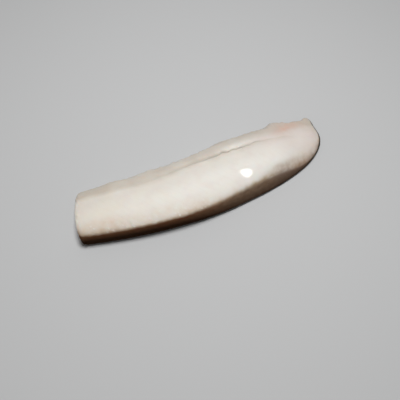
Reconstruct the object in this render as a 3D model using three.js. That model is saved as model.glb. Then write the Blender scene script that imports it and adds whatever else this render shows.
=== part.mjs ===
// Salt cod loin: one thick cut of white fish, lying on its skin side.
// One end is a clean knife cut. The other thins into a rounded tail with a ragged flap and a small ear
// at its back corner. A seam between two muscles runs along the back third of the top.
// Millimetres: +X from the knife cut to the tail, +Y to the back, +Z up, origin under the middle of the box.
import * as THREE from 'three';

// Driving dimensions
const LENGTH = 386;
const CUT_SLANT = 0.237; // how far the knife cut runs back along X for each millimetre of Y
const CUT_FRONT = -17.9; // Y of the cut's front corner, where the slant starts
const CUT_BOW = 3.4; // how far the middle of the cut bulges out
const CUT_MIDDLE = 17; // Y of the middle of the cut
const CUT_HALF_WIDTH = 37;
const CUT_REACH = 90; // how far along X the slant and the bow fade out
const CUT_ROUND = 7; // rounding of the cut's rim, along X
const CUT_ROUND_SHARE = 0.15; // the same rounding over the cut face, as a share of the section
const UNDERSIDE_SINK = 1.2; // how far the round underside would reach below the flat it rests on
const CROWN_RISE = 4.5; // swell of the top between the seam and the front
const CROWN_WIDTH = 26;
const CROWN_PLACE = 0.58; // where the swell is highest, as a share of the way from the seam to the front
const BEVEL_SLOPE = 0.8; // rise per millimetre of the bevel over the front wall
const BEVEL_BLEND = 2;
const SEAM_FRONT_WIDTH = 7; // the top falls gently into the seam from the front
const SEAM_BACK_WIDTH = 2.6; // and climbs out of it steeply to the back
const LIP_WIDTH = 5; // raised lip behind the seam
const LIP_OFFSET = 6;
const LIP_SHARE = 0.4; // lip's rise as a share of the seam's depth
const WAVE_RISE = 0.55; // slow unevenness of the top
const WAVES = [{ along: 23, across: 31, phase: 0.6 }, { along: 41, across: -17, phase: 1.9 }];
const CORE_HEIGHT_SHARE = 0.42; // height of the middle of a section, as a share of its top
const FLAP = { start: 0.785, peak: 0.843, notch: 0.855, end: 0.91, out: 10.8, kept: 0.58 };
const EAR = { start: 0.962, full: 0.985, out: 3.5, reach: 1.2 };
const FIN_THINNESS = 6; // how thin the flap and the ear are against the section that they grow out of

// Profiles along the loin: [share of LENGTH, value], in millimetres where the value is a length
const seamLine = profile([[0, 30], [0.14, 27.5], [0.27, 23.5], [0.36, 23.5], [0.47, 26], [0.73, 26.5],
  [0.82, 24], [1, 22]]);
const frontFoot = profile([[0, -20], [0.155, -33.5], [0.31, -42.2], [0.49, -46.8], [0.65, -43], [0.78, -36.3],
  [1, -26]]);
const backEdge = profile([[0, 53.5], [0.105, 52], [0.16, 53], [0.235, 50.6], [0.315, 51.6], [0.375, 49.7],
  [0.435, 51], [0.53, 53.9], [0.605, 58.1], [0.68, 57.8], [0.775, 58.1], [1, 46.3]]);
const topHeight = profile([[0, 33.5], [0.23, 36], [0.47, 37.6], [0.675, 36.8], [0.805, 30.5], [0.91, 20.5],
  [1, 10.5]]);
const middleHeight = profile([[0, 9], [0.74, 9], [0.895, 6], [1, 4]]); // where a section is widest
const wallHeight = profile([[0, 42], [0.545, 42], [0.65, 37], [0.715, 32], [0.78, 27], [0.83, 20], [0.88, 15],
  [1, 12]]);
const wallLean = profile([[0, 0.8], [0.13, 0.8], [0.26, 0], [0.36, 0.3], [0.52, 4.4], [0.65, 9], [0.77, 10.6],
  [0.83, 7], [0.88, 2.5], [1, 0]]);
const seamDepth = profile([[0, 0.6], [0.285, 1], [0.44, 2.2], [0.625, 2.6], [0.755, 1.3], [0.86, 0.2],
  [1, 0]]);
const frontSquareness = profile([[0, 5.5], [0.34, 7.5], [0.6, 8], [0.75, 6.5], [0.81, 3.8], [0.87, 2.2],
  [0.93, 1.8], [1, 1.9]]);
const backSquareness = profile([[0, 2.3], [0.39, 1.9], [0.8, 2], [1, 2.2]]);
const LOWER_SQUARENESS = 4.5;

// Where each side begins to close towards the tail, as a share of LENGTH, and how square it closes
const FRONT_CLOSE = { start: 0.727, power: 2.05 };
const BACK_CLOSE = { start: 0.974, power: 5.2 };
const TOP_CLOSE = { start: 0.982, power: 2 };
const UNDERSIDE_CLOSE = { start: 0.94, power: 2 };

// Mesh density
const SIDES = 72;
const FACE_RINGS = 4;
const RIM_RINGS = 5;
const BODY_RINGS = 60;
const CORNER_CROWDING = 0.16; // how strongly a ring's points are drawn to its top and bottom
const SEAM_CROWDING = 0.3; // how strongly they are drawn to the seam

/** A smooth curve through [share of LENGTH, value] pairs, as a function of the distance from the cut. */
function profile(pairs) {
  const distances = pairs.map(([share]) => share * LENGTH);
  const values = pairs.map(([, value]) => value);
  const curve = new THREE.CubicInterpolant(distances, values, 1, new Float64Array(1));
  return (distance) => curve.evaluate(distance)[0];
}

/** A smooth rise from 0 at one share of LENGTH to 1 at another. */
function rise(distance, from, to) {
  return THREE.MathUtils.smoothstep(distance, from * LENGTH, to * LENGTH);
}

/** 1 along the loin, then down to 0 at the tail as a quarter of a superellipse. */
function closing(distance, { start, power }) {
  const q = THREE.MathUtils.clamp((distance / LENGTH - start) / (1 - start), 0, 1);
  return Math.max(1 - q ** power, 0) ** (1 / power);
}

function bell(offset, width) {
  return Math.exp(-((offset / width) ** 2));
}

/** The smaller of two heights, with the corner between them rounded. */
function softMin(a, b, blend) {
  return 0.5 * (a + b - Math.hypot(a - b, blend));
}

/** How far the ragged flap and the ear stand out behind the back edge, and the ear past the tail. */
function backFin(distance) {
  const notched = 1 - (1 - FLAP.kept) * rise(distance, FLAP.notch, FLAP.end);
  const flap = FLAP.out * rise(distance, FLAP.start, FLAP.peak) * notched;
  const ear = rise(distance, EAR.start, EAR.full);
  return { out: flap + EAR.out * ear, reach: EAR.reach * ear };
}

/** A unit superellipse whose squareness differs from quarter to quarter, at a turn of 0 to 2 pi. */
function unitSection(distance, turn) {
  const angle = turn + CORNER_CROWDING * Math.sin(2 * turn) + SEAM_CROWDING * Math.cos(turn);
  const across = Math.cos(angle);
  const up = Math.sin(angle);
  const upper = across < 0 ? frontSquareness(distance) : backSquareness(distance);
  const n = up < 0 ? LOWER_SQUARENESS : upper;
  const radius = (Math.abs(across) ** n + Math.abs(up) ** n) ** (-1 / n);
  return [radius * across, radius * up];
}

/** The relief of the top at one point: crown, seam, lip and slow waves. */
function topRelief(distance, y, ySeam, yFront) {
  const crown = CROWN_RISE * bell(y - THREE.MathUtils.lerp(ySeam, yFront, CROWN_PLACE), CROWN_WIDTH);
  const depth = seamDepth(distance);
  const pastSeam = y - ySeam + 1;
  const seam = -depth * bell(pastSeam, pastSeam < 0 ? SEAM_FRONT_WIDTH : SEAM_BACK_WIDTH);
  const lip = LIP_SHARE * depth * bell(y - ySeam - LIP_OFFSET, LIP_WIDTH);
  const waves = WAVES.map(({ along, across, phase }) => Math.sin(distance / along + y / across + phase));
  return { crown, fine: seam + lip + WAVE_RISE * waves[0] * waves[1] };
}

/** A point of the surface: distance from the cut, share of the section's size, turn round the section. */
function surfacePoint(distance, share, turn) {
  const [across, up] = unitSection(distance, turn);
  const frontRound = closing(distance, FRONT_CLOSE);
  const thinning = closing(distance, TOP_CLOSE);
  const ySeam = seamLine(distance);
  const yFront = ySeam - (ySeam - frontFoot(distance)) * frontRound;
  const backRound = closing(distance, BACK_CLOSE);
  const yBack = ySeam + (backEdge(distance) - ySeam) * backRound;
  const zMiddle = middleHeight(distance);
  const zTop = zMiddle + (topHeight(distance) - zMiddle) * thinning;
  const lowerDepth = (zMiddle + UNDERSIDE_SINK) * closing(distance, UNDERSIDE_CLOSE);
  let z = zMiddle + up * (up > 0 ? zTop - zMiddle : lowerDepth);

  const lean = wallLean(distance) * frontRound;
  const yWall = yFront + lean * THREE.MathUtils.clamp(z / Math.max(zTop, 1), 0, 1);
  let y = ySeam + across * (across < 0 ? ySeam - yWall : yBack - ySeam);
  const fin = backFin(distance);
  const finShare = backRound * Math.max(across, 0) ** FIN_THINNESS;
  y += fin.out * finShare;

  if (up > 0) {
    const relief = topRelief(distance, y, ySeam, yFront);
    const weight = up ** 2 * thinning;
    const wallTop = zMiddle + (wallHeight(distance) - zMiddle) * thinning;
    const bevel = wallTop + (y - yFront - lean) * BEVEL_SLOPE;
    const crowned = z + relief.crown * weight * frontRound;
    z = softMin(crowned, bevel, BEVEL_BLEND * thinning) + relief.fine * weight;
  }

  const yCore = (yFront + yBack) / 2;
  const zCore = CORE_HEIGHT_SHARE * zTop;
  y = yCore + (y - yCore) * share;
  z = Math.max(zCore + (z - zCore) * share, 0);

  const cutShape = CUT_SLANT * (y - CUT_FRONT) - CUT_BOW * (1 - ((y - CUT_MIDDLE) / CUT_HALF_WIDTH) ** 2);
  const slant = cutShape * (1 - THREE.MathUtils.smoothstep(distance, 0, CUT_REACH));
  const x = distance + slant + fin.reach * finShare;
  return [x, y, z];
}

/** Distance and share of every ring: over the cut face, round its rim and along the body. */
function ringStations() {
  const rings = [];
  for (let i = 1; i <= FACE_RINGS; i++) {
    rings.push([0, (1 - CUT_ROUND_SHARE) * (i / FACE_RINGS)]);
  }
  for (let i = 1; i <= RIM_RINGS; i++) {
    const turn = (Math.PI / 2) * (i / RIM_RINGS);
    rings.push([CUT_ROUND * (1 - Math.cos(turn)), 1 - CUT_ROUND_SHARE * (1 - Math.sin(turn))]);
  }
  for (let i = 1; i < BODY_RINGS; i++) {
    rings.push([CUT_ROUND + (LENGTH - CUT_ROUND) * Math.sin((Math.PI / 2) * (i / BODY_RINGS)), 1]);
  }
  return rings;
}

/** The closed surface: rings joined by quads, with one point in the middle of the cut and one at the tail. */
function loinGeometry() {
  const rings = ringStations();
  const points = rings.flatMap(([distance, share]) =>
    Array.from({ length: SIDES }, (_, i) => surfacePoint(distance, share, (2 * Math.PI * i) / SIDES)));
  const cutMiddle = points.push(surfacePoint(0, 0, 0)) - 1;
  const tail = points.push(surfacePoint(LENGTH, 1, 0)) - 1;

  const triangles = [];
  const last = (rings.length - 1) * SIDES;
  for (let i = 0; i < SIDES; i++) {
    const next = (i + 1) % SIDES;
    triangles.push(cutMiddle, next, i, tail, last + i, last + next);
    for (let ring = 0; ring < last; ring += SIDES) {
      const [a, b, c, d] = [ring + i, ring + next, ring + SIDES + next, ring + SIDES + i];
      triangles.push(a, b, c, a, c, d);
    }
  }

  const geometry = new THREE.BufferGeometry();
  geometry.setAttribute('position', new THREE.Float32BufferAttribute(points.flat(), 3));
  geometry.setIndex(triangles);
  geometry.computeBoundingBox();
  const middle = geometry.boundingBox.getCenter(new THREE.Vector3());
  geometry.translate(-middle.x, -middle.y, -geometry.boundingBox.min.z);
  geometry.computeVertexNormals();
  return geometry;
}

const flesh = new THREE.MeshStandardMaterial({ color: 0xe6e2d8, roughness: 0.4, metalness: 0 });
const loin = new THREE.Mesh(loinGeometry(), flesh);
loin.name = 'loin';

const part = new THREE.Group();
part.add(loin);

export default part;
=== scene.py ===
import bpy
import numpy as np
from mathutils import Matrix, Vector


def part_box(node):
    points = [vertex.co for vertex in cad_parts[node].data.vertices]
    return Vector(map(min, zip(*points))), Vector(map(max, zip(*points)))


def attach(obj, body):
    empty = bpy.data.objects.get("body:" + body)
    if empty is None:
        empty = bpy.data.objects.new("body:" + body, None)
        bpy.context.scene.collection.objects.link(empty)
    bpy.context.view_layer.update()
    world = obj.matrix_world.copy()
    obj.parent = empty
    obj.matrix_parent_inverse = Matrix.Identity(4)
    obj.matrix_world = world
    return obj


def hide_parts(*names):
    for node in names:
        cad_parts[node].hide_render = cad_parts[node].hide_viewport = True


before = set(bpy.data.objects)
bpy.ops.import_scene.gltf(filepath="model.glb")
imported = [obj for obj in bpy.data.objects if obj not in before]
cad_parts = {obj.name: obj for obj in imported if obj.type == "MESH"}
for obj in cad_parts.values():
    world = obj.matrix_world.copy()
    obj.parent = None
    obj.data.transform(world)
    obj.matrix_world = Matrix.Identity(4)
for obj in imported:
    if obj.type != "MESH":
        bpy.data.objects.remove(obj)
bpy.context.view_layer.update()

# The loin's form
# A loin is the thick upper half of one side of a cod, lifted off the bone and laid on its skin. A knife
# takes it across at the head end and long ways down its front; the tail end thins and is left as it tore.
MM = 0.001
LENGTH = 386.0
CUT_SLANT, CUT_FRONT, CUT_REACH = 0.237, -17.9, 90.0
CUT_BOW, CUT_MIDDLE, CUT_HALF_WIDTH = 3.4, 17.0, 37.0
CUT_ROUND, CUT_ROUND_SHARE, CORE_HEIGHT_SHARE = 7.0, 0.15, 0.42
FLAP_OUT, FLAP_START, FLAP_LOSS, FLAP_END = 10.8, (0.785, 0.843), 0.42, (0.855, 0.91)
EAR_OUT, EAR_PAST_TAIL, EAR_START, FIN_THINNESS = 3.5, 1.2, (0.962, 0.985), 6
LOWER_SQUARENESS, UNDERSIDE_SINK = 4.5, 1.2
FRONT_CLOSING, BACK_CLOSING = (0.727, 2.05), (0.974, 5.2)
TOP_CLOSING, UNDERSIDE_CLOSING = (0.982, 2), (0.94, 2)
CROWN_RISE, CROWN_WIDTH, CROWN_PLACE = 4.5, 26.0, 0.58
BEVEL_SLOPE, BEVEL_BLEND = 0.8, 2.0
SEAM_FRONT_WIDTH, SEAM_BACK_WIDTH, SEAM_SHIFT = 7.0, 2.6, 1
LIP_WIDTH, LIP_OFFSET, LIP_SHARE = 5.0, 6.0, 0.4
WAVE_RISE, FIRST_WAVE, SECOND_WAVE = 0.55, (23, 31, 0.6), (41, -17, 1.9)
SIDES, FACE_RINGS, RIM_RINGS, BODY_RINGS, TAIL_RINGS = 262, 22, 10, 280, 50
FLAT_CROWDING, TOP_CROWDING = 0.16, 0.3
TAIL_START = 360.0


def profile(distance, *pairs):
    """Smooth curve through (share of the length, value) pairs: a cubic from each pair to the next, whose
    slope at a pair is the mean of the straight slopes on its two sides."""
    at, value = np.array(pairs, float).T
    at = at * LENGTH
    secant = np.diff(value) / np.diff(at)
    slope = np.concatenate([secant[:1], (secant[1:] + secant[:-1]) / 2, secant[-1:]])
    i = np.clip(np.searchsorted(at, distance, side="right") - 1, 0, len(at) - 2)
    span = at[i + 1] - at[i]
    p = (distance - at[i]) / span
    ends = (1 + 2 * p) * (1 - p) ** 2 * value[i] + p * p * (3 - 2 * p) * value[i + 1]
    slopes = p * (1 - p) ** 2 * slope[i] + p * p * (p - 1) * slope[i + 1]
    return ends + slopes * span


def rise(value, start, end):
    """0 before start, 1 after end, and a smooth cubic step between them."""
    t = np.clip((value - start) / (end - start), 0, 1)
    return t * t * (3 - 2 * t)


def bell(offset, width):
    """A rounded bump: 1 at no offset, 0.37 at one width."""
    return np.exp(-((offset / width) ** 2))


def closing(distance, start, power):
    """1 along the loin, then down to 0 at the tail: a quarter of a superellipse that begins at a share."""
    q = np.clip((distance / LENGTH - start) / (1 - start), 0, 1)
    return np.maximum(1 - q**power, 0) ** (1 / power)


def wave(distance, y, along, across, phase):
    """A sine that runs over the top: the distance and Y, each over its own length, plus a phase."""
    return np.sin(distance / along + y / across + phase)


def seam_line(distance):
    """Y of the seam between the two muscles: a profile along the loin."""
    return profile(
        distance, (0, 30), (0.14, 27.5), (0.27, 23.5), (0.36, 23.5), (0.47, 26), (0.73, 26.5), (0.82, 24),
        (1, 22)
    )


def back_fin(distance):
    """How far the torn flap and the ear stand out behind the back edge, and the ear past the tail: smooth
    steps along the loin."""
    share = distance / LENGTH
    flap = FLAP_OUT * rise(share, *FLAP_START) * (1 - FLAP_LOSS * rise(share, *FLAP_END))
    ear = rise(share, *EAR_START)
    return flap + EAR_OUT * ear, EAR_PAST_TAIL * ear


def loin_form(distance, share, turn):
    """The loin's surface in millimetres, X from the knife cut. Each section is a superellipse split at the
    seam, squarer at the front than at the back, flat below, with a crown, a seam and its lip on top, a
    bevel over the leaning front wall, and everything closing round the tail. share shrinks the section
    across the cut's face. A sine and a cosine ease the turn, so that more of a ring's points lie on top."""
    angle = turn + FLAT_CROWDING * np.sin(2 * turn) + TOP_CROWDING * np.cos(turn)
    c, s = np.cos(angle), np.sin(angle)
    front_square = profile(
        distance, (0, 5.5), (0.34, 7.5), (0.6, 8), (0.75, 6.5), (0.81, 3.8), (0.87, 2.2), (0.93, 1.8),
        (1, 1.9)
    )
    back_square = profile(distance, (0, 2.3), (0.39, 1.9), (0.8, 2), (1, 2.2))
    n = np.where(s < 0, LOWER_SQUARENESS, np.where(c < 0, front_square, back_square))
    radius = (np.abs(c) ** n + np.abs(s) ** n) ** (-1 / n)
    across, up = radius * c, radius * s

    front_round, thinning = closing(distance, *FRONT_CLOSING), closing(distance, *TOP_CLOSING)
    y_seam = seam_line(distance)
    foot = profile(
        distance, (0, -20), (0.155, -33.5), (0.31, -42.2), (0.49, -46.8), (0.65, -43), (0.78, -36.3),
        (1, -26)
    )
    y_front = y_seam - (y_seam - foot) * front_round
    back_edge = profile(
        distance, (0, 53.5), (0.105, 52), (0.16, 53), (0.235, 50.6), (0.315, 51.6), (0.375, 49.7),
        (0.435, 51), (0.53, 53.9), (0.605, 58.1), (0.68, 57.8), (0.775, 58.1), (1, 46.3)
    )
    back_round = closing(distance, *BACK_CLOSING)
    y_back = y_seam + (back_edge - y_seam) * back_round
    top = profile(
        distance, (0, 33.5), (0.23, 36), (0.47, 37.6), (0.675, 36.8), (0.805, 30.5), (0.91, 20.5), (1, 10.5)
    )
    z_middle = profile(distance, (0, 9), (0.74, 9), (0.895, 6), (1, 4))
    z_top = z_middle + (top - z_middle) * thinning
    z_deep = (z_middle + UNDERSIDE_SINK) * closing(distance, *UNDERSIDE_CLOSING)
    z = z_middle + up * np.where(up > 0, z_top - z_middle, z_deep)

    lean = front_round * profile(
        distance, (0, 0.8), (0.13, 0.8), (0.26, 0), (0.36, 0.3), (0.52, 4.4), (0.65, 9), (0.77, 10.6),
        (0.83, 7), (0.88, 2.5), (1, 0)
    )
    y_wall = y_front + lean * np.clip(z / np.maximum(z_top, 1), 0, 1)
    y = y_seam + across * np.where(across < 0, y_seam - y_wall, y_back - y_seam)
    fin_out, fin_reach = back_fin(distance)
    fin_share = back_round * np.maximum(across, 0) ** FIN_THINNESS
    y = y + fin_out * fin_share

    weight = np.clip(up, 0, 1) ** 2 * thinning
    crown = CROWN_RISE * bell(y - y_seam - (y_front - y_seam) * CROWN_PLACE, CROWN_WIDTH)
    crowned = z + crown * weight * front_round
    wall_top = profile(
        distance, (0, 42), (0.545, 42), (0.65, 37), (0.715, 32), (0.78, 27), (0.83, 20), (0.88, 15), (1, 12)
    )
    bevel = z_middle + (wall_top - z_middle) * thinning + (y - y_front - lean) * BEVEL_SLOPE
    bevelled = 0.5 * (crowned + bevel - np.hypot(crowned - bevel, BEVEL_BLEND * thinning))
    depth = profile(
        distance, (0, 0.6), (0.285, 1), (0.44, 2.2), (0.625, 2.6), (0.755, 1.3), (0.86, 0.2), (1, 0)
    )
    seam_width = np.where(y < y_seam - SEAM_SHIFT, SEAM_FRONT_WIDTH, SEAM_BACK_WIDTH)
    seam = LIP_SHARE * bell(y - y_seam - LIP_OFFSET, LIP_WIDTH) - bell(y - y_seam + SEAM_SHIFT, seam_width)
    waves = WAVE_RISE * wave(distance, y, *FIRST_WAVE) * wave(distance, y, *SECOND_WAVE)
    z = np.where(up > 0, bevelled + (depth * seam + waves) * weight, z)

    y_core, z_core = (y_front + y_back) / 2, CORE_HEIGHT_SHARE * z_top
    y = y_core + (y - y_core) * share
    z = np.maximum(z_core + (z - z_core) * share, 0)
    cut = CUT_SLANT * (y - CUT_FRONT) - CUT_BOW * (1 - ((y - CUT_MIDDLE) / CUT_HALF_WIDTH) ** 2)
    x = distance + cut * (1 - rise(distance, 0, CUT_REACH)) + fin_reach * fin_share
    return np.stack([x, y, z], axis=-1)


# Rings over the cut's face, round its rim, evenly along the body and closer together round the tail
face_share = np.linspace(0, 1 - CUT_ROUND_SHARE, FACE_RINGS + 1)[1:]
rim_turn = np.linspace(0, np.pi / 2, RIM_RINGS + 1)[1:]
rim_share = 1 - CUT_ROUND_SHARE * (1 - np.sin(rim_turn))
body = np.linspace(CUT_ROUND, TAIL_START, BODY_RINGS + 1)[1:]
tail = TAIL_START + (LENGTH - TAIL_START) * np.sin(np.linspace(0, np.pi / 2, TAIL_RINGS + 1)[1:-1])
ring_distance = np.concatenate([0 * face_share, CUT_ROUND * (1 - np.cos(rim_turn)), body, tail])
ring_share = np.concatenate([face_share, rim_share, 0 * body + 1, 0 * tail + 1])
ring_turn = np.linspace(0, 2 * np.pi, SIDES, endpoint=False)
distance, turn = np.meshgrid(ring_distance, ring_turn, indexing="ij")
form = loin_form(distance, ring_share[:, None], turn)
cut_pole = loin_form(np.zeros(1), 0.0, np.zeros(1))
tail_pole = loin_form(np.full(1, LENGTH), 1.0, np.zeros(1))
along = np.gradient(form, axis=0)
around = np.roll(form, -1, axis=1) - np.roll(form, 1, axis=1)
normal = np.cross(around, along)
normal /= np.linalg.norm(normal, axis=-1, keepdims=True)


# The loin's relief
# Flakes of muscle lie between thin sheets that meet in chevrons at the seam. Cutting leaves them as faint
# lines on the top, slanted ones on the wall and curved ones on the cut. In one place at the seam the back
# muscle laps a little over the front one.
def ripple(points, wavelength, seed, waves=14):
    """Smooth random unevenness of spread 1: a sum of sines of about one wavelength in random directions."""
    draw = np.random.default_rng(seed)
    heading = draw.normal(size=(waves, 3))
    heading /= np.linalg.norm(heading, axis=1, keepdims=True)
    pitch = wavelength * draw.uniform(0.7, 1.4, waves)
    phase = draw.uniform(0, 2 * np.pi, waves)
    sines = [np.sin(2 * np.pi * (points @ h) / w + p) for h, w, p in zip(heading, pitch, phase)]
    return sum(sines) * (2 / waves) ** 0.5


def step(value, height, start, end):
    """A rise to a height."""
    return height * rise(value, start, end)


def bump(value, height, middle, width):
    """A bell of a height about a middle."""
    return height * bell(value - middle, width)


def stretch(value, start, full, fading, end):
    """A rise to 1 from start to full, and back to 0 from fading to end."""
    return rise(value, start, full) * (1 - rise(value, fading, end))


# From here on, places along the loin are shares of its length, bands across it are millimetres past the
# seam, and a facing is a part of the surface's normal: 1 where it points straight that way. Other lengths
# are in millimetres.
x, y, z = np.moveaxis(form, -1, 0)
facing_x, facing_y, facing_z = np.moveaxis(normal, -1, 0)
share_along = distance / LENGTH
past_seam = y - seam_line(distance)
uneven_5 = ripple(form, wavelength=5, seed=1)
uneven_14 = ripple(form, wavelength=14, seed=2)
uneven_40 = ripple(form, wavelength=40, seed=3)

# Where the surface faces up, and where it is the face of the cut
UPPER_FACING, CUT_FACING, CUT_FACE_DEPTH = (0.3, 0.7), (0.6, 0.85), (2, 12)
upper = rise(facing_z, *UPPER_FACING)
cut_face = rise(-facing_x, *CUT_FACING) * (1 - rise(distance, *CUT_FACE_DEPTH))

# The front wall, and the crease over it, begin where the surface has turned far enough from level. How far
# changes along the loin, and a few dents make the crease's line wobble.
FRONT_BAND, FRONT_FADE = (-16, -9), (0.78, 0.86)
TAIL_TURN, SLOPE_TURN, CRISP_PLACE, CRISP_REACH = (0.74, 0.84), (0.64, 0.76), 0.235, 0.075
TURN_UNEVEN = 0.02
DENTS = ((0.05, 0.64, 0.018), (-0.08, 0.55, 0.022), (0.1, 0.362, 0.014), (0.06, 0.72, 0.025))
WALL_START, WALL_START_TAIL_LOSS, LOW_WALL = 0.3, 0.05, (0.1, 0.742, 0.05)
WALL_BLEND, WALL_BLEND_TAIL_LOSS, SHARP_WALL = 0.45, 0.1, (0.17, 0.735, 0.045)
CREASE_START, CREASE_CRISP_GAIN, CREASE_SLOPE_LOSS, CREASE_TAIL_GAIN = 0.08, 0.22, 0.04, 0.09
LATE_CREASE, CREASE_END, CREASE_END_SLOPE_LOSS = (0.04, 0.78, 0.035), 0.48, 0.12
CREASE_TAIL_FADE, FAINT_CREASE = (0.3, 0.9, 0.95), (0.12, 0.745, 0.02)
WALL_FACING, CREASE_FACING = (0.05, 0.35), (0.05, 0.4)
front = 1 - rise(past_seam, *FRONT_BAND) * (1 - rise(share_along, *FRONT_FADE))
to_tail = rise(share_along, *TAIL_TURN)
to_slope = rise(share_along, *SLOPE_TURN)
crisp = bell(share_along - CRISP_PLACE, CRISP_REACH)
turned = 1 - facing_z + TURN_UNEVEN * (1 - to_slope) * ripple(form * [1, 0.5, 0.5], wavelength=10, seed=11)
wobble = sum(bump(share_along, *dent) for dent in DENTS)
wall_start = WALL_START - WALL_START_TAIL_LOSS * to_tail + bump(share_along, *LOW_WALL) + wobble
wall_blend = WALL_BLEND - WALL_BLEND_TAIL_LOSS * to_tail - bump(share_along, *SHARP_WALL)
wall = front * rise(turned, wall_start, wall_start + wall_blend) * rise(-facing_y, *WALL_FACING)
# The crease tint is painted shade over the shoulder, where the top turns down to the wall
crease_start = CREASE_START + CREASE_CRISP_GAIN * crisp - CREASE_SLOPE_LOSS * to_slope
crease_start = crease_start + CREASE_TAIL_GAIN * to_tail + bump(share_along, *LATE_CREASE) + wobble
crease = front * rise(turned, crease_start, CREASE_END - CREASE_END_SLOPE_LOSS * to_slope)
crease = crease * rise(-facing_y, *CREASE_FACING)
crease = crease * (1 - step(share_along, *CREASE_TAIL_FADE) - bump(share_along, *FAINT_CREASE))

# The skin is a thin layer round the foot, higher at the back and round the tail, with a frayed edge
SKIN_HEIGHT, SKIN_BACK_GAIN, SKIN_TAIL_GAIN, SKIN_END_GAIN = 2.6, (2.4, 0, 40), 3.2, 7
SKIN_WAVER, SKIN_FRAY, SKIN_BLEND, SKIN_STEP = 0.5, 0.25, 0.4, 0.35
SKIN_FACING, SKIN_END_FACING = (0.3, 0.6), 0.3
TAIL_END, TAIL_END_FACING, TAIL_END_FRONT = (0.85, 0.93), (0.0, 0.35), 0.6
END_FACE, END_FACE_FACING = (0.94, 0.97), (0.3, 0.7)
tail_end = rise(share_along, *TAIL_END) * rise(facing_x - TAIL_END_FRONT * facing_y, *TAIL_END_FACING)
end_face = rise(share_along, *END_FACE) * rise(facing_x, *END_FACE_FACING)
skin_edge = SKIN_HEIGHT + step(y, *SKIN_BACK_GAIN) + SKIN_TAIL_GAIN * tail_end + SKIN_END_GAIN * end_face
skin_edge = skin_edge + SKIN_WAVER * uneven_14 + SKIN_FRAY * uneven_5
skin = 1 - rise(z - skin_edge, -SKIN_BLEND, SKIN_BLEND)
skin = skin * (1 - rise(facing_z - SKIN_END_FACING * end_face, *SKIN_FACING))

# A film of water levels the wet spot: the top there follows the quadratic in X and Y that fits it best
WET_X, WET_Y, WET_REACH = 244.0, -17.0, 24.0
FILM_CORE, FILM_EDGE, FILM_FITTED = 8.0, 20.0, 0.5
wet_x, wet_y = x - WET_X, y - WET_Y
from_wet = np.hypot(wet_x, wet_y)
dry = 1 - upper * bell(from_wet, WET_REACH)
filmed = upper * (1 - rise(from_wet, FILM_CORE, FILM_EDGE))
quadratic = np.stack([1 + 0 * x, wet_x, wet_y, wet_x**2, wet_x * wet_y, wet_y**2], axis=-1)
under_film = filmed > FILM_FITTED
best_fit = np.linalg.lstsq(quadratic[under_film], z[under_film], rcond=None)[0]
film = filmed * (quadratic @ best_fit - z) * facing_z

# Sheets between the flakes: chevrons along the loin, and on the cut arcs round a point below it
FLAKE_SPACING, FLAKE_SLOPE, WALL_FLAKE_SLOPE, FLAKE_STRAY = 11.0, 0.8, 0.7, 0.2
CUT_FLAKE_SPACING, CUT_FLAKE_Y, CUT_FLAKE_Z, CUT_FLAKE_SQUASH, CUT_FLAKE_STRAY = 6.5, 24.0, -6.0, 1.3, 0.1
SHEET_WIDTH, CUT_SHEET_WIDTH = 0.08, 0.1
TOP_FLAKE_DEPTH, WALL_FLAKE_DEPTH, CUT_FLAKE_DEPTH, FLAKE_PATCHES = 0.03, 0.28, 0.2, (-0.5, 1.5)
flake = (x - FLAKE_SLOPE * np.abs(past_seam) + WALL_FLAKE_SLOPE * z * wall) / FLAKE_SPACING
flake = flake + FLAKE_STRAY * uneven_40
cut_flake = np.hypot(y - CUT_FLAKE_Y, CUT_FLAKE_SQUASH * (z - CUT_FLAKE_Z)) / CUT_FLAKE_SPACING
cut_flake = cut_flake + CUT_FLAKE_STRAY * uneven_14
sheet = bell(flake % 1 - 0.5, SHEET_WIDTH) * (1 - cut_face)
sheet = sheet + bell(cut_flake % 1 - 0.5, CUT_SHEET_WIDTH) * cut_face
sheet_depth = TOP_FLAKE_DEPTH * upper * rise(uneven_40, *FLAKE_PATCHES) * dry
sheet_depth = sheet_depth + WALL_FLAKE_DEPTH * wall + CUT_FLAKE_DEPTH * cut_face

# The seam is open along the middle of the loin. Its crack wanders there, and in one place it is torn
OPEN_STRETCH, TORN_PLACE, TORN_REACH = (0.36, 0.56, 0.7, 0.84), 0.61, 0.05
LONG_WANDER, SHORT_WANDER, TORN_WANDER = 0.6, 0.4, 0.5
CRACK_OFFSET, CRACK_WIDTH, CRACK_DEPTH = -0.3, 0.9, 0.3
SHIFT_MIDDLE, SHIFT_WIDTH = 1, 4
HOLLOW_BAND, HOLLOW_STRETCH = (-9, -0.5, 0, 2), (0.5, 0.56, 0.84, 0.92)
LAP_OFFSET, LAP_WIDTH, LAP_RISE, LAP_STRETCH = 2.2, 1.5, 0.6, (0.585, 0.61, 0.63, 0.66)
LAP_FULL, LAP_UNEVEN = 0.8, 0.3
open_seam = stretch(share_along, *OPEN_STRETCH) * upper
torn_seam = bell(share_along - TORN_PLACE, TORN_REACH)
wander = LONG_WANDER * ripple(form * [1, 0, 0], wavelength=34, seed=4)
short_wander = SHORT_WANDER + TORN_WANDER * torn_seam
wander = wander + short_wander * ripple(form * [1, 0, 0], wavelength=12, seed=10)
past_crack = past_seam - CRACK_OFFSET - wander
crack = bell(past_crack, CRACK_WIDTH) * open_seam
seam_shift = wander * facing_y * open_seam * bell(past_seam - SHIFT_MIDDLE, SHIFT_WIDTH)
hollow = stretch(past_crack, *HOLLOW_BAND) * stretch(share_along, *HOLLOW_STRETCH)
lap = bell(past_crack - LAP_OFFSET, LAP_WIDTH) * stretch(share_along, *LAP_STRETCH)
lap = lap * np.clip(LAP_FULL + LAP_UNEVEN * uneven_14, 0, 1)

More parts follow.
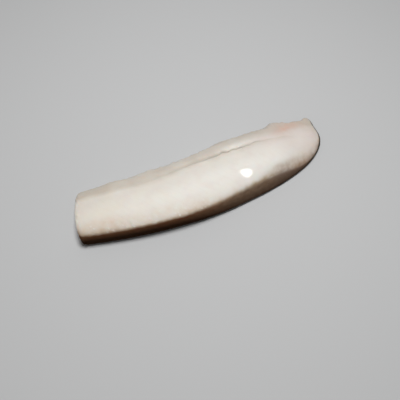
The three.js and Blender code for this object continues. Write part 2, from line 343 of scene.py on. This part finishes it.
# The flap and the back edge are ragged, and the crease of the head half is streaked and flecked with flesh
RAGGED_FACING, RAGGED_BREADTH, RAGGED_BAND, RAGGED_RISE = 0.4, 0.4, (15, 25), 0.9
RAGGED_FLAP, RAGGED_EDGE = (1, 0.82, 0.045), (0.45, 0.02, 0.06)
SHOULDER_FACING, SHOULDER_BREADTH, SHOULDER_FRONT = 0.8, 0.2, (0.1, 0.4)
LEFT_STRETCH = (0.02, 0.06, 0.4, 0.55)
STREAK_SPAN, STREAK_DEPTH, STREAK_PATCHES = (0.2, 1.6), 0.7, 0.5
FLECK_SPAN, FLECK_RISE = (1.5, 2.0), 0.25
ragged = bell(facing_z - RAGGED_FACING, RAGGED_BREADTH) * rise(past_seam, *RAGGED_BAND)
ragged = ragged * (bump(share_along, *RAGGED_FLAP) + step(share_along, *RAGGED_EDGE))
torn_edge = ragged * ripple(form * [1, 0.4, 0.4], wavelength=9, seed=7)
left_crease = front * bell(facing_z - SHOULDER_FACING, SHOULDER_BREADTH) * rise(-facing_y, *SHOULDER_FRONT)
left_crease = left_crease * stretch(share_along, *LEFT_STRETCH)
streak = rise(ripple(form * [1, 0.3, 0.3], wavelength=5, seed=6), *STREAK_SPAN)
streak = streak * np.clip(STREAK_PATCHES + STREAK_PATCHES * ripple(form, wavelength=19, seed=8), 0, 1)
fleck = rise(ripple(form, wavelength=3.6, seed=9), *FLECK_SPAN) * left_crease

# All the relief together, with a little unevenness all over and more round the cut's rim
FINE_RISE, BROAD_RISE, CUT_RIM_PLACE, CUT_RIM_WIDTH, CUT_RIM_RISE = 0.012, 0.04, 3, 4, 0.2
relief = (
    film + (FINE_RISE * uneven_14 + BROAD_RISE * uneven_40) * dry - sheet_depth * sheet * (1 - skin)
    + seam_shift - CRACK_DEPTH * crack + LAP_RISE * lap
    + FLECK_RISE * fleck + CUT_RIM_RISE * bell(distance - CUT_RIM_PLACE, CUT_RIM_WIDTH) * uneven_5
    + RAGGED_RISE * torn_edge - STREAK_DEPTH * left_crease * streak
    + SKIN_STEP * skin
)
surface = form + normal * relief[..., None]
surface[..., 2] = np.maximum(surface[..., 2], 0)


# The loin's tints
# The flesh is creamy by the cut, white along the middle and pinker towards the tail, straw along the crease
# and pink by the flap. Shade is painted in front of and behind the seam, where the flesh is also a little
# greyer, in the crack, over the crease and the front of the tail, and on the front wall, whose brown is
# partly its own and partly painted shade.
TO_RIGHT, HEAD_FADE = (0.25, 0.65), (0.18, 0.33)
to_right = rise(share_along, *TO_RIGHT)
at_head = 1 - rise(share_along, *HEAD_FADE)

# The wall: its browns are partly its own colour and partly painted shade. Its lower part is painted dark as
# shadow, higher up by the cut than by the tail, and its red fades along the loin
DARK_HEIGHT, DARK_HEIGHT_LOSS, DARK_BLEND, DARK_BLEND_LOSS = 0.38, 0.35, 0.6, 0.05
RED_FADE, GREY_SLOPE, RED_SHADE_STRETCH = (0.3, 0.62), (0.66, 0.8), (0.79, 0.83, 0.89, 0.93)
DULL_SEAM, DULL_WIDTH = 0.9, 5
height_share = z / form[..., 2].max(axis=1, keepdims=True)
lit = (height_share - DARK_HEIGHT + DARK_HEIGHT_LOSS * to_right) / (DARK_BLEND - DARK_BLEND_LOSS * to_right)
wall_painted_shade = wall * (1 - np.clip(lit, 0, 1))
red_wall = wall * (1 - rise(share_along, *RED_FADE))
dull = np.maximum(wall, DULL_SEAM * bell(past_crack, DULL_WIDTH) * open_seam)

# The thin rim by the flap is darkened towards the skin's colour where it faces back: partly skin showing
# through, partly painted shade. The crack carries painted shade, darkest where it is torn, and the pale lap
# is partly a painted highlight on the lip
FLAP_RIM, FLAP_RIM_FACING, FLAP_RIM_SKIN_AND_SHADE = (0.74, 0.82), (0.5, 0.85), 0.2
TOP_SHEET_TINT, LAP_HIGHLIGHT_TINT = 0.2, 0.45
CRACK_TINT, TORN_TINT, CRACK_FULL, CRACK_UNEVEN = 0.05, 0.2, 0.7, 0.5
# The rim that faces back by the flap is darkened: partly skin showing through, partly painted shade
flap_rim = rise(facing_y, *FLAP_RIM_FACING) * rise(share_along, *FLAP_RIM)
skin_and_rim_shade = np.maximum(skin, FLAP_RIM_SKIN_AND_SHADE * flap_rim)
sheet_tint = sheet * (cut_face + TOP_SHEET_TINT * upper)
crack_shade_tint = (CRACK_TINT + TORN_TINT * torn_seam) * crack
crack_shade_tint = crack_shade_tint * np.clip(CRACK_FULL + CRACK_UNEVEN * uneven_5, 0, 1)
# The lap's white is partly a painted highlight on the lip, with white flecks of flesh
lap_highlight_and_fleck = np.maximum(LAP_HIGHLIGHT_TINT * lap, fleck)

# The blush is a slanted oval in front of the flap, and a fainter one over the back of the tail
BLUSH_X, BLUSH_Y, BLUSH_LENGTH, BLUSH_WIDTH, BLUSH_SLANT, BLUSH_TINT = 331, 39.5, 19, 8.5, 0.25, 0.92
FAINT_BLUSH, FAINT_BLUSH_BAND = (0.65, 346, 24), (8, 22)
blush = BLUSH_TINT * bell(x - BLUSH_X, BLUSH_LENGTH)
blush = blush * bell(y - BLUSH_Y - BLUSH_SLANT * (x - BLUSH_X), BLUSH_WIDTH)
blush = upper * (blush + bump(x, *FAINT_BLUSH) * rise(past_seam, *FAINT_BLUSH_BAND))

# Straw lies along the crease of the head half and in one patch near the cut; over the front of the tail,
# where the surface turns down, the same colour is painted shade
STRAW_FACING, STRAW_BREADTH, STRAW_FRONT, STRAW_FADE = 0.8, 0.22, (0.05, 0.3), (0.4, 0.55)
STRAW_CRISP_LOSS, STRAW_FULL, STRAW_UNEVEN, STRAW_STREAK, STRAW_TINT = 0.4, 0.6, 0.15, 0.3, 0.9
STRAW_PATCH_TINT, STRAW_PATCH_X, STRAW_PATCH_Y, STRAW_PATCH_WIDTH = 0.3, 39, -14, 12
TAIL_FRONT_SHADE, TAIL_FRONT_SHADE_TURN, TAIL_FRONT_SHADE_FACING = (0.4, 0.7, 0.82), (0.03, 0.3), (0, 0.25)
straw_edge = front * bell(facing_z - STRAW_FACING, STRAW_BREADTH) * rise(-facing_y, *STRAW_FRONT)
straw_edge = straw_edge * (1 - rise(share_along, *STRAW_FADE)) * (1 - STRAW_CRISP_LOSS * crisp)
straw_edge = straw_edge * (STRAW_FULL + STRAW_UNEVEN * uneven_14 + STRAW_STREAK * streak)
straw_patch = bell(x - STRAW_PATCH_X, STRAW_PATCH_WIDTH) * bell(y - STRAW_PATCH_Y, STRAW_PATCH_WIDTH)
tail_front_shade = rise(1 - facing_z, *TAIL_FRONT_SHADE_TURN) * rise(-facing_y, *TAIL_FRONT_SHADE_FACING)
straw_and_shade = STRAW_TINT * np.clip(straw_edge, 0, 1) + STRAW_PATCH_TINT * upper * straw_patch
straw_and_shade = straw_and_shade + step(share_along, *TAIL_FRONT_SHADE) * tail_front_shade

# Painted shade, where the flesh is also a little greyer, as far as the tail: it rises softly in front of
# the seam, and again at a strip that shifts about it
BAND_SHADE, BAND_HEAD_LOSS, BAND = 0.4, 0.22, (-36, -4)
STRIP_SHADE, STRIP_HEAD_GAIN, STRIP_THIN, STRIP_PALE = 0.66, 0.2, (0.14, 0.53, 0.05), (0.12, 0.28, 0.06)
STRIP_START, STRIP_START_RIGHT, STRIP_START_HEAD = -11, 7, 7
STRIP_END, STRIP_END_RIGHT, STRIP_END_HEAD = 3, 2, 3
STRIP_CUT_SHIFT, STRIP_CUT_SPAN, HEAD_HALF_FADE = 2, (0.02, 0.12), (0.62, 0.82)
strip_shade = STRIP_SHADE + STRIP_HEAD_GAIN * at_head
strip_shade = strip_shade - bump(share_along, *STRIP_THIN) - bump(share_along, *STRIP_PALE)
cut_shift = STRIP_CUT_SHIFT * (1 - rise(share_along, *STRIP_CUT_SPAN))
strip_start = STRIP_START + STRIP_START_RIGHT * to_right + STRIP_START_HEAD * at_head + cut_shift
strip_end = STRIP_END + STRIP_END_RIGHT * to_right + STRIP_END_HEAD * at_head + cut_shift
head_shade = (BAND_SHADE - BAND_HEAD_LOSS * at_head) * rise(past_seam, *BAND)
head_shade = head_shade + strip_shade * rise(past_seam, strip_start, strip_end)
head_shade = head_shade * (1 - rise(share_along, *HEAD_HALF_FADE))

# Painted shade on the tail half: behind the pale lip of the seam, which widens, and over the tail's back
# and end
LIP_SPAN, LIP_BAND, LIP_SHADE, BEHIND_LIP_SHADE = (0.55, 0.64), (-1, 3), 0.25, 0.95
LIP_START, LIP_END, LIP_WIDENING, LIP_FADE = 3, 14, (8, 0.62, 0.7), (0.7, 0.76, 0.88)
TAIL_BACK, TAIL_BACK_BAND = (0.75, 0.78, 0.89), (8, 26)
TAIL_TIP, TIP_FRONT_BAND, TIP_BACK_BAND = (0.925, 0.985), (0.3, -28, -8), (0.3, 12, 22)
EAR_ROOT, EAR_ROOT_BAND = (0.35, 0.95, 0.025), (20, 27)
TIP_PATCH, TIP_PATCH_MIDDLE, TIP_PATCH_WIDTH = (0.2, 0.942, 0.025), 7, 6
TIP_MARGIN, TIP_MARGIN_BAND = (0.35, 0.955, 0.98), (-14, -2)
behind_lip = rise(share_along, *LIP_SPAN) * rise(past_seam, *LIP_BAND)
lip_end = LIP_END + step(share_along, *LIP_WIDENING)
lip_shade = LIP_SHADE + BEHIND_LIP_SHADE * rise(past_seam, LIP_START, lip_end)
lip_shade = behind_lip * lip_shade * (1 - step(share_along, *LIP_FADE))
tail_shade = step(share_along, *TAIL_BACK) * rise(past_seam, *TAIL_BACK_BAND)
tip_shade = step(past_seam, *TIP_FRONT_BAND) + step(past_seam, *TIP_BACK_BAND)
tip_shade = rise(share_along, *TAIL_TIP) * tip_shade
tip_shade = tip_shade + bump(share_along, *EAR_ROOT) * rise(past_seam, *EAR_ROOT_BAND)
tip_shade = tip_shade + bump(share_along, *TIP_PATCH) * bell(past_seam - TIP_PATCH_MIDDLE, TIP_PATCH_WIDTH)
tip_shade = tip_shade + step(share_along, *TIP_MARGIN) * rise(past_seam, *TIP_MARGIN_BAND)

# All the painted shade together, with a little by the cut and in the hollow in front of the crack
CUT_SHADE, CUT_SHADE_FADE, HEAD_SHADE, HEAD_SHADE_FADE = 0.15, (0.02, 0.1), 0.18, (0.1, 0.25)
HOLLOW_SHADE, SHADE_FACING = 0.35, (-0.2, 0.7)
cut_shade = CUT_SHADE * (1 - rise(share_along, *CUT_SHADE_FADE))
cut_shade = cut_shade + HEAD_SHADE * (1 - rise(share_along, *HEAD_SHADE_FADE))
painted_shade = head_shade * (1 - behind_lip) + lip_shade + tail_shade + tip_shade + cut_shade + HOLLOW_SHADE * hollow

TAIL_SPAN, TAIL_BAND, CREAM_LOSS = (0.56, 0.95), (-48, 0), (0.7, 0.1, 0.45)
tints = {
    "wall": wall,
    "dull": dull,
    "red_wall": red_wall,
    "wall_painted_shade": wall_painted_shade,
    "crease": crease,
    "slope": rise(share_along, *GREY_SLOPE),
    "red_shade": stretch(share_along, *RED_SHADE_STRETCH),
    "skin": skin_and_rim_shade,
    "flake": sheet_tint,
    "crack": crack_shade_tint,
    "lap": lap_highlight_and_fleck,
    "blush": blush,
    "straw_and_shade": straw_and_shade,
    "shade": rise(facing_z, *SHADE_FACING) * painted_shade,
    "tail": rise(share_along, *TAIL_SPAN) * rise(past_seam, *TAIL_BAND),
    "cream": 1 - step(share_along, *CREAM_LOSS),
}


# The loin's mesh
# One closed surface of quads over the rings, with a fan of triangles at the middle of the cut and at the
# tail. It lies where the solid's box lies in the frame, and carries each tint as a value at its points.
ring_count = len(ring_distance)
index = np.arange(ring_count * SIDES).reshape(ring_count, SIDES)
ahead = np.roll(index, -1, axis=1)
quads = np.stack([index[:-1], ahead[:-1], ahead[1:], index[1:]], axis=-1).reshape(-1, 4)
cut_index, tail_index = index.size, index.size + 1
cut_fan = np.stack([np.full(SIDES, cut_index), ahead[0], index[0]], axis=-1)
tail_fan = np.stack([np.full(SIDES, tail_index), index[-1], ahead[-1]], axis=-1)
low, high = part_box("loin")
to_frame = np.array([*((np.array(low) + np.array(high)) / 2)[:2], low[2]])
form_points = np.concatenate([form.reshape(-1, 3), cut_pole, tail_pole])
middle = (form_points.min(axis=0) + form_points.max(axis=0)) / 2 * [1, 1, 0]
points = np.concatenate([surface.reshape(-1, 3), cut_pole, tail_pole])
points = (points - middle) * MM + to_frame
mesh = bpy.data.meshes.new("cod_loin")
mesh.from_pydata(points.tolist(), [], quads.tolist() + cut_fan.tolist() + tail_fan.tolist())
mesh.polygons.foreach_set("use_smooth", np.ones(len(mesh.polygons), dtype=bool))
for name, tint in tints.items():
    values = np.concatenate([tint.reshape(-1), tint[0].mean(keepdims=True), tint[-1].mean(keepdims=True)])
    mesh.attributes.new(name, "FLOAT", "POINT").data.foreach_set("value", values.astype(np.float32))
loin = bpy.data.objects.new("cod_loin", mesh)
bpy.context.scene.collection.objects.link(loin)


# The loin's flesh and skin
# Moist white flesh, a little see-through, under a film of water, and mottled skin round its foot. Each tint
# lays its colour over the ones before it, most of them broken up by cloudy noise.
FLESH_CREAM, FLESH_WHITE, FLESH_PINK = (0.805, 0.76, 0.68), (0.815, 0.795, 0.75), (0.77, 0.70, 0.66)
# The straw colour also paints shade over the front of the tail
STRAW_AND_SHADE, BLUSH, SHADE, TAIL = (0.70, 0.52, 0.38), (0.68, 0.43, 0.34), (0.56, 0.50, 0.43), (0.70, 0.61, 0.57)
# The wall's browns, red and pink are partly its own colour and partly painted shade; the near-black one is
# painted shadow low on the wall
WALL_BROWN, WALL_TAN, WALL_PINK = (0.228, 0.149, 0.097), (0.304, 0.202, 0.134), (0.252, 0.168, 0.125)
WALL_RED, WALL_PAINTED_SHADE, BLOOD = (0.27, 0.125, 0.062), (0.032, 0.016, 0.009), (0.27, 0.075, 0.045)
# The crease's tan, grey and red are painted shade
CREASE_TAN, CREASE_GREY, CREASE_RED_SHADE = (0.54, 0.405, 0.27), (0.38, 0.292, 0.235), (0.42, 0.292, 0.2)
# The crack's brown is painted shade, and the lap's white partly a painted highlight
CRACK_SHADE_BROWN, LAP_HIGHLIGHT_WHITE, FLAKE_SHEET = (0.50, 0.40, 0.32), (0.86, 0.83, 0.78), (0.60, 0.52, 0.43)
SKIN_DARK, SKIN_PALE = (0.035, 0.030, 0.024), (0.15, 0.125, 0.09)
WATER_COAT, THIN_WATER_SHARE, COAT_ROUGHNESS = 0.45, 0.7, 0.04
SUBSURFACE_WEIGHT, SUBSURFACE_RADIUS, SUBSURFACE_SCALE = 0.3, (1.0, 0.6, 0.4), 0.0028
GRAIN_STRENGTH, GRAIN_DEPTH = 0.25, 0.0005
NOISE_SPAN, WIDE_NOISE_SPAN = (0.3, 0.7), (0.2, 0.8)

flesh = bpy.data.materials.new("cod_flesh")
flesh.use_nodes = True
tree = flesh.node_tree
shader = tree.nodes["Principled BSDF"]
coordinates = tree.nodes.new("ShaderNodeTexCoord").outputs["Object"]


def noise(scale, detail, squeeze=(1, 1, 1)):
    """Cloudy values on the loin's own coordinates: finer with scale, drawn out where squeeze is small."""
    mapping = tree.nodes.new("ShaderNodeMapping")
    mapping.inputs["Scale"].default_value = squeeze
    tree.links.new(coordinates, mapping.inputs["Vector"])
    texture = tree.nodes.new("ShaderNodeTexNoise")
    texture.inputs["Scale"].default_value = scale
    texture.inputs["Detail"].default_value = detail
    tree.links.new(mapping.outputs["Vector"], texture.inputs["Vector"])
    return texture.outputs["Fac"]


def ramp(value, span, result=(0.0, 1.0)):
    """A value mapped smoothly from a span to a result, each a pair of numbers."""
    node = tree.nodes.new("ShaderNodeMapRange")
    node.interpolation_type = "SMOOTHSTEP"
    tree.links.new(value, node.inputs["Value"])
    for socket, number in zip(("From Min", "From Max", "To Min", "To Max"), (*span, *result)):
        node.inputs[socket].default_value = number
    return node.outputs["Result"]


def times(a, b):
    """The product of two values."""
    node = tree.nodes.new("ShaderNodeMath")
    node.operation = "MULTIPLY"
    tree.links.new(a, node.inputs[0])
    tree.links.new(b, node.inputs[1])
    return node.outputs["Value"]


def mask(name):
    """One of the loin's tints."""
    node = tree.nodes.new("ShaderNodeAttribute")
    node.attribute_name = name
    return node.outputs["Fac"]


# A Mix node's sockets share their names, so its colour ones go by number
MIX_COLOURS, MIX_RESULT = (6, 7), 2


def tinted(under, over, amount):
    """One colour laid over another by an amount; each is a socket or three numbers."""
    node = tree.nodes.new("ShaderNodeMix")
    node.data_type = "RGBA"
    tree.links.new(amount, node.inputs["Factor"])
    for socket, colour in zip(MIX_COLOURS, (under, over)):
        if isinstance(colour, tuple):
            node.inputs[socket].default_value = (*colour, 1)
        else:
            tree.links.new(colour, node.inputs[socket])
    return node.outputs[MIX_RESULT]


cloud, mottle = noise(scale=26, detail=3), noise(scale=70, detail=3)
patch, speck = noise(scale=120, detail=4), noise(scale=420, detail=3)
blotch = noise(scale=48, detail=3)
clot, fibre = noise(1, detail=3, squeeze=(70, 110, 160)), noise(1, detail=4, squeeze=(60, 700, 700))

colour = tinted(FLESH_WHITE, FLESH_CREAM, times(mask("cream"), ramp(mottle, NOISE_SPAN, (0.5, 1.0))))
colour = tinted(colour, FLESH_PINK, ramp(blotch, (0.45, 0.75), (0.0, 0.5)))
colour = tinted(colour, TAIL, times(mask("tail"), ramp(cloud, WIDE_NOISE_SPAN, (0.5, 1.0))))
# Painted shade about the seam, over the tail and by the cut
colour = tinted(colour, SHADE, times(mask("shade"), ramp(cloud, WIDE_NOISE_SPAN, (0.6, 1.0))))
# Straw, which over the front of the tail is painted shade
colour = tinted(colour, STRAW_AND_SHADE, times(mask("straw_and_shade"), ramp(patch, NOISE_SPAN, (0.35, 0.8))))
colour = tinted(colour, BLUSH, times(mask("blush"), ramp(patch, (0.25, 0.75), (0.28, 0.6))))
# Painted shade over the crease: tan by the cut, grey towards the tail and redder over the front of the tail
crease_shade_colour = tinted(tinted(CREASE_TAN, CREASE_GREY, mask("slope")), CREASE_RED_SHADE, mask("red_shade"))
colour = tinted(colour, crease_shade_colour, times(mask("crease"), ramp(patch, NOISE_SPAN, (0.6, 1.0))))
# The wall's colour: browns that are partly its own and partly painted shade, and a near-black painted
# shadow low on the wall
wall_colour_and_shade = tinted(tinted(WALL_BROWN, WALL_TAN, ramp(patch, NOISE_SPAN)), WALL_RED, mask("red_wall"))
wall_colour_and_shade = tinted(wall_colour_and_shade, WALL_PINK, times(mask("slope"), ramp(mottle, NOISE_SPAN, (0.5, 1.0))))
wall_colour_and_shade = tinted(wall_colour_and_shade, BLOOD, times(mask("red_wall"), ramp(clot, (0.52, 0.68), (0.0, 0.8))))
wall_colour_and_shade = tinted(wall_colour_and_shade, WALL_PAINTED_SHADE, mask("wall_painted_shade"))
colour = tinted(colour, wall_colour_and_shade, mask("wall"))
colour = tinted(colour, FLAKE_SHEET, times(mask("flake"), ramp(patch, NOISE_SPAN, (0.1, 0.4))))
# Painted shade in the crack
colour = tinted(colour, CRACK_SHADE_BROWN, mask("crack"))
# A pale lap, partly a painted highlight on the lip
colour = tinted(colour, LAP_HIGHLIGHT_WHITE, mask("lap"))
skin_colour = tinted(SKIN_DARK, SKIN_PALE, ramp(patch, (0.45, 0.7)))
colour = tinted(colour, skin_colour, mask("skin"))
tree.links.new(colour, shader.inputs["Base Color"])

water = ramp(cloud, NOISE_SPAN, (WATER_COAT * THIN_WATER_SHARE, WATER_COAT))
tree.links.new(times(water, ramp(mask("dull"), (0.0, 1.0), (1.0, 0.0))), shader.inputs["Coat Weight"])
shader.inputs["Coat Roughness"].default_value = COAT_ROUGHNESS
tree.links.new(ramp(patch, NOISE_SPAN, (0.36, 0.5)), shader.inputs["Roughness"])
shader.inputs["Specular IOR Level"].default_value = 0.0
shader.inputs["Subsurface Weight"].default_value = SUBSURFACE_WEIGHT
shader.inputs["Subsurface Radius"].default_value = SUBSURFACE_RADIUS
shader.inputs["Subsurface Scale"].default_value = SUBSURFACE_SCALE
grain = tree.nodes.new("ShaderNodeBump")
grain.inputs["Strength"].default_value = GRAIN_STRENGTH
grain.inputs["Distance"].default_value = GRAIN_DEPTH
tree.links.new(tinted(fibre, speck, ramp(patch, NOISE_SPAN, (0.2, 0.6))), grain.inputs["Height"])
tree.links.new(grain.outputs["Normal"], shader.inputs["Normal"])
mesh.materials.append(flesh)
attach(loin, "root")
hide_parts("loin")


# The camera
# It looks down on the front of the loin from the knife-cut side, as the photograph does.
CAMERA_AZIMUTH, CAMERA_ELEVATION, CAMERA_ROLL = np.radians([-22.79, 62.79, 0.64])
CAMERA_DISTANCE, CAMERA_AIM = 0.7194, Vector((-0.0178, -0.0231, 0.0))
FOCAL_PIXELS, IMAGE_PIXELS, SENSOR_MM, CLIP_START = 498.6, 400, 36.0, 0.01

back = Vector((
    np.sin(CAMERA_AZIMUTH) * np.cos(CAMERA_ELEVATION),
    -np.cos(CAMERA_AZIMUTH) * np.cos(CAMERA_ELEVATION),
    np.sin(CAMERA_ELEVATION),
))
level = Vector((np.cos(CAMERA_AZIMUTH), np.sin(CAMERA_AZIMUTH), 0))
plumb = back.cross(level)
right = level * np.cos(CAMERA_ROLL) + plumb * np.sin(CAMERA_ROLL)
upright = plumb * np.cos(CAMERA_ROLL) - level * np.sin(CAMERA_ROLL)
camera_data = bpy.data.cameras.new("camera")
camera_data.sensor_width = SENSOR_MM
camera_data.lens = FOCAL_PIXELS / IMAGE_PIXELS * SENSOR_MM
camera_data.clip_start = CLIP_START
camera = bpy.data.objects.new("camera", camera_data)
camera_turn = Matrix((right, upright, back)).transposed().to_4x4()
camera.matrix_world = Matrix.Translation(CAMERA_AIM + back * CAMERA_DISTANCE) @ camera_turn
bpy.context.scene.collection.objects.link(camera)
bpy.context.scene.camera = camera


# The floor and the light
# A plain pale floor under one soft lamp, high and a little behind, which leaves the front wall in its own
# shade. A long narrow lamp shows only as its mirror image: a round glint on the wet spot.
FLOOR_HALF, FLOOR_GREY, FLOOR_ROUGHNESS = 4.0, (0.56, 0.565, 0.57), 0.8
KEY_AIM, KEY_DIRECTION = Vector((0, 0, 0.02)), Vector((0.03, 0.05, 0.998))
KEY_DISTANCE, KEY_SIZE, KEY_POWER = 1.3, 0.39, 14.2
WORLD_WHITE, WORLD_STRENGTH = (1.0, 0.98, 0.95), 0.16
GLINT_X, GLINT_Y, GLINT_DISTANCE, GLINT_POWER = 245.1, -17.6, 0.6, 1.3
GLINT_LENGTH, GLINT_WIDTH, GLINT_TILT = 0.374, 0.0416, np.radians(-30.6)
GLINT_SIDE, GLINT_LIFT = -0.0119, 0.0108

floor_mesh = bpy.data.meshes.new("floor")
corners = [(side * FLOOR_HALF, end * FLOOR_HALF, 0) for side, end in ((-1, -1), (1, -1), (1, 1), (-1, 1))]
floor_mesh.from_pydata(corners, [], [(0, 1, 2, 3)])
floor_paint = bpy.data.materials.new("pale_floor")
floor_paint.use_nodes = True
floor_shader = floor_paint.node_tree.nodes["Principled BSDF"]
floor_shader.inputs["Base Color"].default_value = (*FLOOR_GREY, 1)
floor_shader.inputs["Roughness"].default_value = FLOOR_ROUGHNESS
floor_mesh.materials.append(floor_paint)
floor = bpy.data.objects.new("floor", floor_mesh)
bpy.context.scene.collection.objects.link(floor)


def disc_lamp(name, place, aim, size, power):
    """A round lamp that faces a point."""
    data = bpy.data.lights.new(name, "AREA")
    data.shape = "DISK"
    data.size = size
    data.energy = power
    lamp = bpy.data.objects.new(name, data)
    lamp.location = place
    lamp.rotation_euler = (aim - place).to_track_quat("-Z", "Y").to_euler()
    bpy.context.scene.collection.objects.link(lamp)
    return lamp


key_lamp = disc_lamp("key_lamp", KEY_AIM + KEY_DIRECTION * KEY_DISTANCE, KEY_AIM, KEY_SIZE, KEY_POWER)
key_lamp.visible_glossy = False

# The glint lamp stands where the top at the wet spot, as a mirror, sends the camera's line of sight
from_glint = np.where(facing_z < 0, np.inf, np.hypot(x - GLINT_X, y - GLINT_Y))
spot = np.unravel_index(from_glint.argmin(), from_glint.shape)
glint = Vector((form[spot] - middle) * MM + to_frame)
facing = Vector(normal[spot])
to_camera = (camera.location - glint).normalized()
to_lamp = 2 * facing.dot(to_camera) * facing - to_camera
sideways = Vector((0, 0, 1)).cross(to_lamp).normalized()
upwards = to_lamp.cross(sideways)
glint_place = glint + to_lamp * GLINT_DISTANCE + sideways * GLINT_SIDE + upwards * GLINT_LIFT
glint_lamp = disc_lamp("glint_lamp", glint_place, glint, GLINT_LENGTH, GLINT_POWER)
glint_lamp.data.shape = "ELLIPSE"
glint_lamp.data.size_y = GLINT_WIDTH
glint_lamp.rotation_euler.rotate_axis("Z", GLINT_TILT)
glint_lamp.visible_diffuse = False

world = bpy.data.worlds.new("studio")
world.use_nodes = True
background = world.node_tree.nodes["Background"]
background.inputs["Color"].default_value = (*WORLD_WHITE, 1)
background.inputs["Strength"].default_value = WORLD_STRENGTH
bpy.context.scene.world = world
bpy.context.scene.view_settings.view_transform = "Standard"
